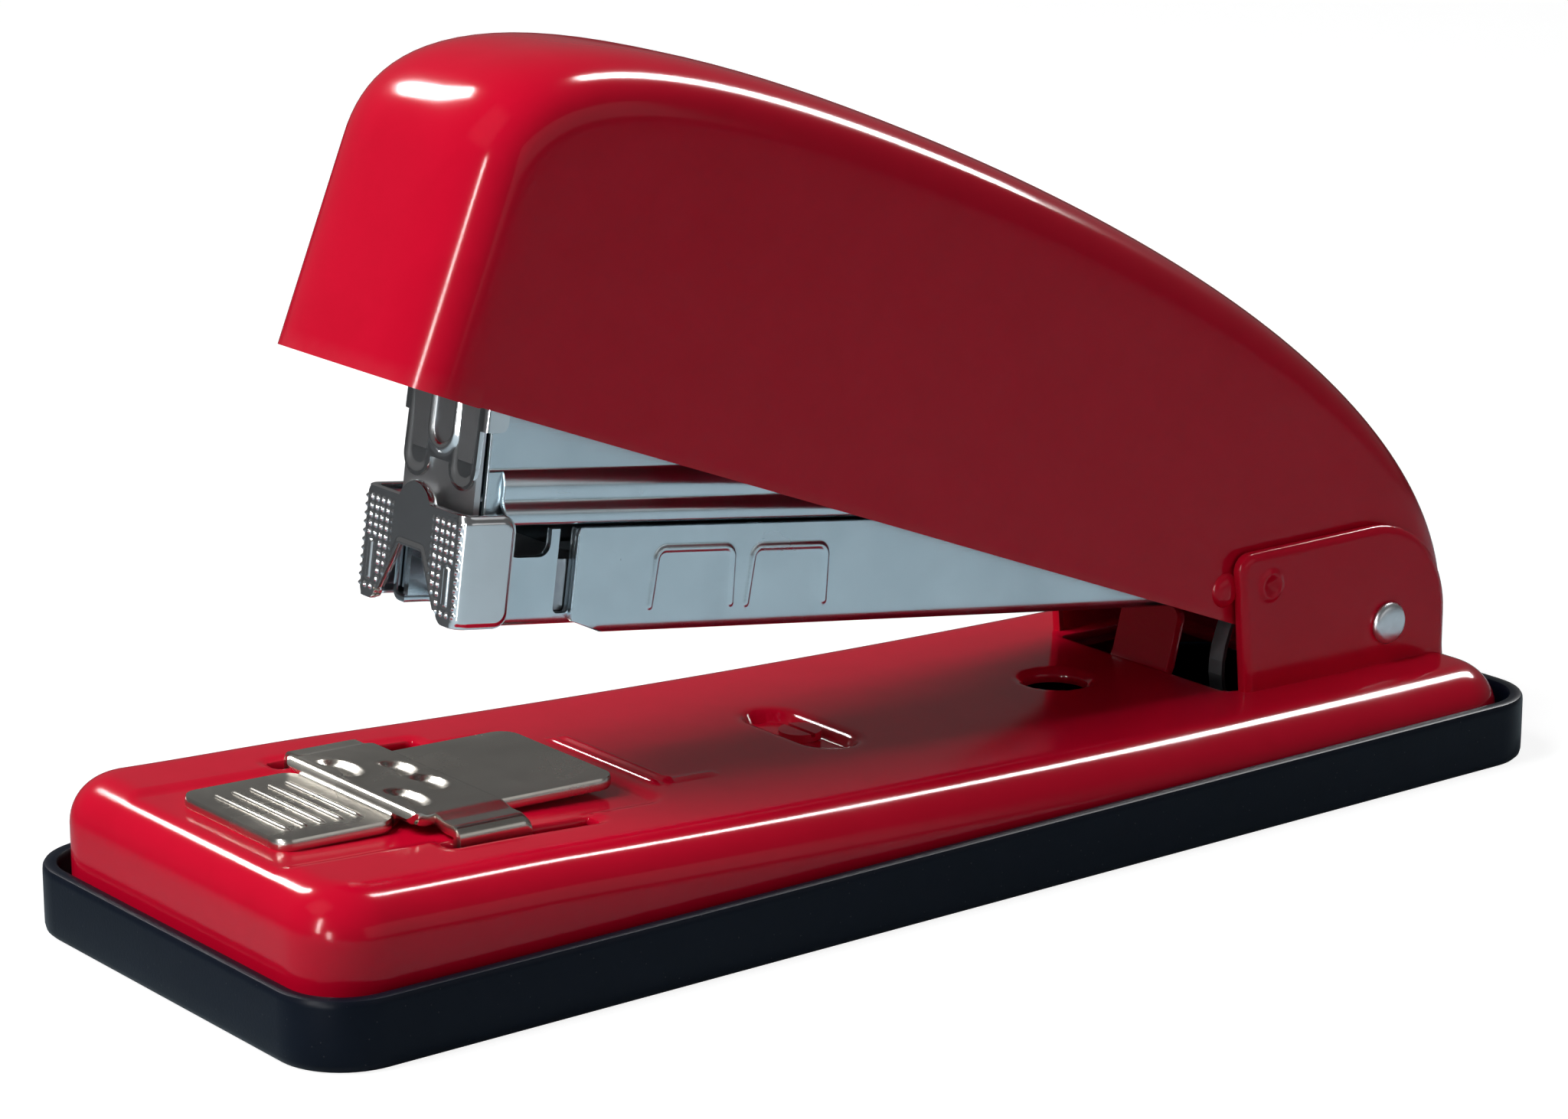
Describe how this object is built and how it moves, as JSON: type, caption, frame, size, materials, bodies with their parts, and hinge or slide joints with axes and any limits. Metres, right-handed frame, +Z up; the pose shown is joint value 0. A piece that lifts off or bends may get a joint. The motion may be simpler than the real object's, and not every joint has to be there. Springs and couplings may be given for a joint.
{
  "type": "desk stapler",
  "caption": "Desk stapler with a tall pressed-steel cover, a front-loading drawer with knurled nose, a sliding anvil and a long base on a plastic foot.",
  "frame": {"origin": "on the desk, under the middle of the foot", "axes": "+X along the stapler towards the hinge, +Y across it, +Z up"},
  "size_m": [0.17, 0.0596, 0.0927],
  "materials": {
    "red_enamel": "high-gloss stoved enamel",
    "foot_plastic": "satin moulded black plastic",
    "plated_steel": "bright zinc plate, smooth",
    "nickel": "bright nickel plate",
    "brushed_blade": "ground and brushed",
    "spring_steel": "tempered, satin",
    "zinc": "passivated zinc, satin"
  },
  "bodies": {
    "base": {"base_tray": "foot_plastic", "base_plate": "red_enamel", "tray_screw": "zinc", "hinge_pin": "zinc", "lift_spring": "spring_steel", "anvil_retainer": "spring_steel", "anvil_detent": "spring_steel"},
    "anvil": {"anvil_plate": "nickel"},
    "magazine": {"magazine_sleeve": "plated_steel", "magazine_housing": "plated_steel", "housing_rivets": "zinc", "hinge_spacer": "zinc", "side_bushings": "zinc", "drawer_latch": "spring_steel", "return_spring": "spring_steel"},
    "drawer": {"drawer_nose": "nickel", "drawer_channel": "plated_steel", "staple_rail": "plated_steel", "drawer_end_plate": "plated_steel", "guide_rod": "zinc", "follower_spring": "spring_steel"},
    "follower": {"follower": "plated_steel"},
    "handle": {"cover_shell": "red_enamel", "cover_bracket": "plated_steel", "driver_channel": "plated_steel", "driver_blade": "brushed_blade", "blade_guide": "nickel", "driver_rivets": "zinc"}
  },
  "joints": [
    {"name": "magazine_hinge", "type": "hinge", "parent": "base", "child": "magazine", "pos_m": [0.0703, 0, 0.0159], "axis": [0, 1, 0], "range_deg": [-7.6, 0], "stiffness_Nm_per_rad": 1.2, "springref_deg": 6.88, "deforming": ["lift_spring"]},
    {"name": "handle_hinge", "type": "hinge", "parent": "magazine", "child": "handle", "pos_m": [0.0703, 0, 0.0159], "axis": [0, 1, 0], "range_deg": [-4.3, 0], "stiffness_Nm_per_rad": 2, "springref_deg": 8.59, "deforming": ["return_spring"]},
    {"name": "drawer_slide", "type": "slide", "parent": "magazine", "child": "drawer", "axis": [-0.9903, 0, 0.1392], "range_m": [0, 0.07]},
    {"name": "follower_slide", "type": "slide", "parent": "drawer", "child": "follower", "axis": [-0.9903, 0, 0.1392], "range_m": [-0.06, 0], "stiffness_N_per_m": 20, "springref_m": 0.06, "deforming": ["follower_spring"]},
    {"name": "anvil_slide", "type": "slide", "parent": "base", "child": "anvil", "axis": [0.9996, 0, -0.0279], "range_m": [0, 0.0055]}
  ]
}
